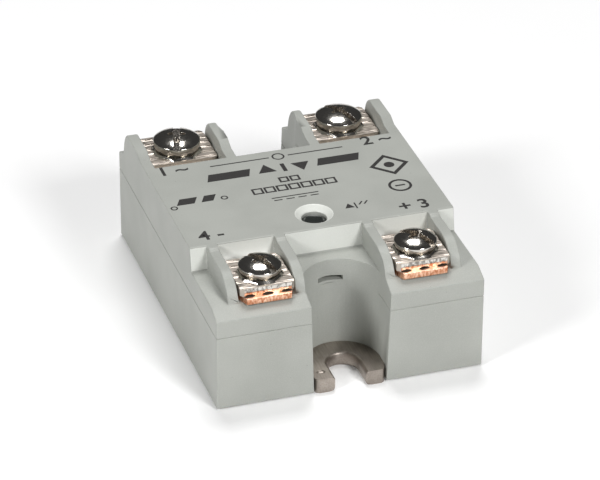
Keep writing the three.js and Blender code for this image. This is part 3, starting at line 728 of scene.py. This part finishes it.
def screwHead(bm, under, top, radius, side):
    # half of the head's section, from the axis underneath round to the top of the dome, spun once round
    rim = under + side * mm
    fall = top - rim
    ball = (radius ** 2 + fall ** 2) / (2 * fall)
    bend = screw["rim"] * mm
    foot = screw["foot"] * mm
    section = [(0, under)]
    for i in range(screw["footSteps"] + 1):
        angle = math.pi / 2 * (1 - i / screw["footSteps"])
        drop = (rim - bend - under) * math.sin(angle)
        section.append((radius - foot + foot * math.cos(angle), rim - bend - drop))
    lean = math.asin(radius / ball)
    for i in range(1, screw["rimSteps"] + 1):
        angle = (math.pi / 2 - lean) * i / screw["rimSteps"]
        section.append((radius - bend + bend * math.cos(angle), rim - bend + bend * math.sin(angle)))
    last = Vector(section[-1])
    for i in range(1, screw["domeSteps"] + 1):
        share = 1 - i / screw["domeSteps"]
        reach = last.x * share
        section.append((reach, top - ball + math.sqrt(ball ** 2 - reach ** 2)))
    points = [bm.verts.new((r, 0, z)) for r, z in section]
    edges = [bm.edges.new(pair) for pair in zip(points, points[1:])]
    bmesh.ops.spin(
        bm, geom=points + edges, cent=(0, 0, 0), axis=up, angle=2 * math.pi,
        steps=screw["steps"], use_merge=True, use_duplicate=False,
    )
    bmesh.ops.remove_doubles(bm, verts=bm.verts, dist=screw["weld"]["head"] * mm)
    bmesh.ops.recalc_face_normals(bm, faces=bm.faces)


def threadedShank(bm, low, high, radius, pitch):
    # one pitch of the thread's section, swept up a helix and trimmed flat at both ends
    depth = pitch * screw["threadShare"]
    turns = math.ceil((high - low) / pitch) + 3
    start = low - 1.5 * pitch
    section = [(radius - depth * (1 - out), start + along * pitch) for out, along in screw["threadForm"]]
    points = [bm.verts.new((r, 0, z)) for r, z in section]
    edges = [bm.edges.new(pair) for pair in zip(points, points[1:])]
    steps = screw["threadSteps"]
    bmesh.ops.spin(
        bm, geom=points + edges, cent=(0, 0, 0), axis=up, dvec=up * pitch / steps,
        angle=2 * math.pi * turns, steps=steps * turns, use_merge=False, use_duplicate=False,
    )
    bmesh.ops.remove_doubles(bm, verts=bm.verts, dist=screw["weld"]["thread"] * mm)
    for height, way in ((low, -up), (high, up)):
        bmesh.ops.bisect_plane(
            bm, geom=bm.verts[:] + bm.edges[:] + bm.faces[:], dist=1e-7, plane_co=up * height, plane_no=way,
            clear_outer=True,
        )
    bmesh.ops.holes_fill(bm, edges=[e for e in bm.edges if e.is_boundary], sides=0)
    bmesh.ops.recalc_face_normals(bm, faces=bm.faces)


def recessTools(top, radius):
    # the slot across the head, and the four wings of the cross that narrow towards the bottom
    tools = []
    half = screw["slotWidth"] / 2 * mm
    bm = bmesh.new()
    addBlock(bm, (-2 * radius, -half, top - screw["slotDepth"] * mm), (2 * radius, half, top + mm))
    tools.append(addPiece("slotTool", bm, []))
    for turn in (0, 90):
        bm = bmesh.new()
        reach = screw["wingReach"] * mm
        wing = screw["wingWidth"] / 2 * mm
        verts = addBlock(bm, (-reach, -wing, top - screw["wingDepth"] * mm), (reach, wing, top + mm))
        deep = [v for v in verts if v.co.z < top]
        bmesh.ops.scale(bm, vec=(screw["wingTip"] / screw["wingReach"], screw["wingTaper"], 1), verts=deep)
        matrix = Matrix.Rotation(math.radians(turn), 3, "Z")
        bmesh.ops.rotate(bm, cent=(0, 0, 0), matrix=matrix, verts=bm.verts)
        tools.append(addPiece("wingTool", bm, []))
    return tools


def softenAbove(piece, height, offset):
    # takes the burr off the sharp edges that lie above a height
    bm = bmesh.new()
    bm.from_mesh(piece.data)
    bmesh.ops.remove_doubles(bm, verts=bm.verts, dist=screw["weld"]["carved"] * mm)
    edges = [e for e in sharpEdges(bm, screw["edgeBend"]) if min(v.co.z for v in e.verts) > height]
    roundEdges(bm, edges, offset, 2)
    bm.to_mesh(piece.data)
    bm.free()


def makeScrew(end, number):
    node = end + "_screw_" + str(number)
    low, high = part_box(node)
    settings = ends[end]
    radius = (high.x - low.x) / 2
    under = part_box(end + "_clamp_" + str(number))[1].z
    bm = bmesh.new()
    screwHead(bm, under, high.z, radius, settings["side"])
    piece = addPiece(end + "Screw" + str(number), bm, [finishes["screw"], finishes["recess"]])
    bm = bmesh.new()
    top = under + screw["shankReach"] * mm
    threadedShank(bm, low.z, top, settings["thread"] * mm, settings["pitch"] * mm)
    carve(piece, addPiece("shankTool", bm, []), "UNION")
    for tool in recessTools(high.z, radius):
        tool.data.polygons.foreach_set("material_index", [1] * len(tool.data.polygons))
        carve(piece, tool, "DIFFERENCE")
    softenAbove(piece, under + screw["foot"] * mm, screw["edge"] * mm)
    turn = Matrix.Rotation(math.radians(screw["turns"][number]), 4, "Z")
    centre = (low + high) / 2
    piece.data.transform(Matrix.Translation((centre.x, centre.y, 0)) @ turn)
    finishPiece(piece, "screw_" + str(number), "nickel", node)


clamp = {
    "ribPitch": 1.65,
    "ribStart": 0.4,  # share of the pitch before the first groove
    "ribRound": 0.3,
    "ribDepth": 0.22,
    "gripPitch": 3.05,
    "gripWidth": 1.8,
    "gripHeight": 0.36,
    "hole": 0.35,  # clearance round the thread
    "bossSlope": 0.45,
    "bossSink": 0.25,  # how far its foot goes into the saddle
    "corner": 0.6,
    "upright": 0.1,  # an edge that rises more than this is a corner
    "weld": 0.002,
    "atEnd": 0.02,  # faces this near to the outward end are on it
}


def rodAlong(bm, axis, centre, width, height, length):
    # a lying rod of oval section
    turn = Matrix.Rotation(math.pi / 2, 4, "Y" if axis == "X" else "X")
    size = (length, width, height) if axis == "X" else (width, length, height)
    scale = Matrix.Diagonal((*size, 1))
    matrix = Matrix.Translation(centre) @ scale @ turn
    bmesh.ops.create_cone(bm, cap_ends=True, segments=24, radius1=0.5, radius2=0.5, depth=1, matrix=matrix)


def makeClamp(end, number):
    node = end + "_clamp_" + str(number)
    low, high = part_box(node)
    axis = sum(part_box(end + "_screw_" + str(number)), Vector()) / 2
    settings = ends[end]
    flat = high.z - settings["bossHeight"] * mm
    bm = bmesh.new()
    addBlock(bm, low, (high.x, high.y, flat))
    upright = [e for e in bm.edges if abs(e.verts[0].co.z - e.verts[1].co.z) > clamp["upright"] * mm]
    roundEdges(bm, upright, clamp["corner"] * mm, 1)
    materials = [finishes["clamp"], settings["sheared"], finishes["screw"]]
    piece = addPiece(end + "Clamp" + str(number), bm, materials)

    bm = bmesh.new()
    ribs = int((high.y - low.y) / (clamp["ribPitch"] * mm)) + 1
    ribRadius = clamp["ribRound"] * mm
    for i in range(ribs):
        y = low.y + (i + clamp["ribStart"]) * clamp["ribPitch"] * mm
        centre = ((low.x + high.x) / 2, y, flat + ribRadius - clamp["ribDepth"] * mm)
        rodAlong(bm, "X", centre, 2 * ribRadius, 2 * ribRadius, 2 * (high.x - low.x))
    carve(piece, addPiece("ribTool", bm, []), "DIFFERENCE")

    bm = bmesh.new()
    slope = clamp["bossSlope"] * mm
    boss = settings["boss"] * mm
    addDrum(bm, axis, flat - clamp["bossSink"] * mm, high.z, boss, boss - slope, 8, math.pi / 8)
    tool = addPiece("bossTool", bm, [])
    tool.data.polygons.foreach_set("material_index", [2] * len(tool.data.polygons))
    carve(piece, tool, "UNION")

    bm = bmesh.new()
    for step in (-1, 0, 1):
        centre = (axis.x + step * clamp["gripPitch"] * mm, axis.y, low.z)
        rodAlong(bm, "Y", centre, clamp["gripWidth"] * mm, 2 * clamp["gripHeight"] * mm, 2 * (high.y - low.y))
    carve(piece, addPiece("gripTool", bm, []), "DIFFERENCE")
    bm = bmesh.new()
    addDrum(bm, axis, low.z - mm, high.z + mm, (settings["thread"] + clamp["hole"]) * mm)
    carve(piece, addPiece("holeTool", bm, []), "DIFFERENCE")

    bm = bmesh.new()
    bm.from_mesh(piece.data)
    bmesh.ops.remove_doubles(bm, verts=bm.verts, dist=clamp["weld"] * mm)
    outer = max(low.y, high.y, key=abs)
    for face in bm.faces:
        atEnd = abs(face.calc_center_median().y - outer) < clamp["atEnd"] * mm
        if abs(face.normal.y) > 0.9 and atEnd:
            face.material_index = 1
    bm.to_mesh(piece.data)
    bm.free()
    finishPiece(piece, "clamp_" + str(number), "nickel", node)


strip = {"edge": 0.1, "edgeBend": 50, "flat": 0.8}  # mm, degrees, and how squarely a plated face points up


def makeStrip(end, number):
    node = end + "_terminal_" + str(number)
    bm = mergedCopy(node)
    roundEdges(bm, sharpEdges(bm, strip["edgeBend"]), strip["edge"] * mm, 2)
    for face in bm.faces:
        face.material_index = int(abs(face.normal.z) > strip["flat"])
    piece = addPiece(end + "Strip" + str(number), bm, [finishes["copper"], finishes["clamp"]])
    finishPiece(piece, "relay", "copper", node)


for end, settings in ends.items():
    low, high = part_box(end + "_clamp_" + str(settings["numbers"][0]))
    flat = high.z - settings["bossHeight"] * mm
    settings["sheared"] = shearedEdge(end + "ClampSheared", low.z, flat)
    for number in settings["numbers"]:
        makeStrip(end, number)
        makeClamp(end, number)
        makeScrew(end, number)
print("terminals made")


# Printing on the deck

ink = {"height": 0.03, "size": 3.9, "bold": 0.07, "stroke": 0.5}


def deckHeight():
    bm = mergedCopy("cover")
    place = BVHTree.FromBMesh(bm).ray_cast(up, -up)[0]
    bm.free()
    return place.z


deck = deckHeight()


def addBar(bm, x, y, length, width, angle=0.0, lean=0.0):
    # a printed bar, turned by an angle in degrees, its ends leaning by a share of its width
    thin = ink["height"] * mm
    shape = Matrix.Diagonal((length * mm, width * mm, thin, 1))
    shear = Matrix.Identity(4)
    shear[0][1] = lean
    turn = Matrix.Rotation(math.radians(angle), 4, "Z")
    place = Matrix.Translation((x * mm, y * mm, deck))
    bmesh.ops.create_cube(bm, size=1, matrix=place @ turn @ shear @ shape)


def addRing(bm, x, y, radius, width, steps, start=0.0):
    # a printed ring, with few steps for one with corners
    half = width / 2 * mm
    thin = ink["height"] / 2 * mm
    section = [(-half, -thin), (half, -thin), (half, thin), (-half, thin)]
    centre = Vector((x * mm, y * mm, deck))
    points = [bm.verts.new(centre + Vector((radius * mm + r, 0, z))) for r, z in section]
    edges = [bm.edges.new((points[i], points[(i + 1) % 4])) for i in range(4)]
    turn = Matrix.Rotation(math.radians(start), 3, "Z")
    bmesh.ops.rotate(bm, cent=centre, matrix=turn, verts=points)
    bmesh.ops.spin(
        bm, geom=points + edges, cent=centre, axis=up, angle=2 * math.pi, steps=steps,
        use_merge=True, use_duplicate=False,
    )


def addDisc(bm, x, y, radius, steps, turn=0.0):
    thin = ink["height"] / 2 * mm
    addDrum(bm, (x * mm, y * mm), deck - thin, deck + thin, radius * mm, None, steps, math.radians(turn))


def addText(bm, text, x, y, size):
    # plain figures, made a mesh and then placed on the deck
    curve = bpy.data.curves.new("figures", "FONT")
    curve.body = text
    curve.size = size * mm
    curve.extrude = ink["height"] / 2 * mm
    curve.offset = ink["bold"] * mm
    curve.align_x = "CENTER"
    curve.align_y = "CENTER"
    curve.resolution_u = 4
    thing = bpy.data.objects.new("figures", curve)
    bpy.context.scene.collection.objects.link(thing)
    mesh = bpy.data.meshes.new_from_object(thing.evaluated_get(bpy.context.evaluated_depsgraph_get()))
    mesh.transform(Matrix.Translation((x * mm, y * mm, deck)))
    bm.from_mesh(mesh)
    bpy.data.objects.remove(thing)


def makePrinting():
    # places from the middle of the deck and sizes, in millimetres
    bm = bmesh.new()
    figures = [("1 ~", -18.0, 10.9), ("2 ~", 17.6, 11.1), ("+ 3", 16.4, -11.7), ("4 -", -17.9, -11.2)]
    for text, x, y in figures:
        addText(bm, text, x, y, ink["size"])
    stroke = ink["stroke"]
    addBar(bm, -6.6, 10.4, 10.2, 0.28)  # a thin line above the bold band, with a break
    addBar(bm, 6.6, 10.4, 9.6, 0.28)
    addRing(bm, 0.1, 10.4, 0.95, 0.28, 24)
    addBar(bm, -9.6, 6.6, 7.2, 2.3, 0, 0.35)  # two bold bars and between them two triangles tip to tip
    addBar(bm, 9.4, 6.6, 7.2, 2.3, 0, 0.35)
    addDisc(bm, -3.1, 6.6, 1.8, 3, 0)
    addDisc(bm, 2.9, 6.6, 1.8, 3, 180)
    addBar(bm, -0.1, 6.6, 0.7, 2.6)
    for x in (-1.3, 0.6):  # two small boxes
        addRing(bm, x, 2.7, 0.95, stroke, 4, 45)
    for i in range(7):  # a row of blank boxes
        addRing(bm, -6.6 + 2.1 * i, 0.1, 1.1, stroke, 4, 45)
    addBar(bm, -1.1, -2.8, 8.0, 0.26)  # the sign for direct current
    for i in range(4):
        addBar(bm, -4.2 + 2.07 * i, -3.6, 1.4, 0.26)
    addBar(bm, -18.6, 0.4, 3.0, 1.9, 0, 0.5)  # plain marks at the left
    addBar(bm, -14.9, 0.4, 2.0, 1.9, 0, 0.5)
    addRing(bm, -21.2, -1.2, 0.5, 0.25, 16)
    addRing(bm, -12.4, -0.2, 0.5, 0.25, 16)
    addRing(bm, 16.9, 2.3, 3.0, 0.9, 4)  # a diamond and a ring at the right
    addDisc(bm, 16.9, 2.3, 0.9, 24)
    addRing(bm, 16.4, -4.8, 1.75, 0.45, 32)
    addBar(bm, 16.4, -4.8, 1.7, 0.4)
    addDisc(bm, 6.2, -9.0, 0.95, 3, 0)  # the sign for a light-emitting diode, beside the window
    addBar(bm, 7.3, -9.0, 0.25, 1.9)
    for x in (8.3, 9.2):
        addBar(bm, x, -8.4, 1.2, 0.25, 50)
    bmesh.ops.remove_doubles(bm, verts=bm.verts, dist=shared["weld"] * mm)
    bmesh.ops.recalc_face_normals(bm, faces=bm.faces)
    piece = addPiece("deckPrinting", bm, [finishes["ink"]])
    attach(piece, "relay")


makePrinting()
print("printing made")


# Nodes that keep their shape, by finish

kept = {
    "screw": ["load_nut_1", "load_nut_2", "control_nut_3", "control_nut_4"],
    "copper": ["copper_pad_a", "copper_pad_b", "bridge_clip_a", "bridge_clip_b", "gate_pin_a", "gate_pin_b"],
    "ceramic": ["ceramic_substrate"],
    "silicon": ["thyristor_chip_a", "thyristor_chip_b"],
    "gel": ["potting"],
    "board": ["circuit_board"],
    "epoxy": ["optocoupler_a", "optocoupler_b", "input_diode", "input_transistor"],
    "film": ["snubber_capacitor"],
    "resistor": ["snubber_resistor", "gate_resistor_a", "gate_resistor_b", "input_resistor"],
    "lens": ["status_led", "status_lens"],
}
for finish, names in kept.items():
    for name in names:
        nodes[name].data.materials.clear()
        nodes[name].data.materials.append(finishes[finish])
print("kept nodes finished")


# Floor

def addFloor():
    bm = bmesh.new()
    bmesh.ops.create_circle(bm, cap_ends=True, segments=96, radius=studio["floorRadius"])
    floor = addPiece("floor", bm, [finishes["floor"]])


addFloor()
addCamera()
addLights()
print("stage set")
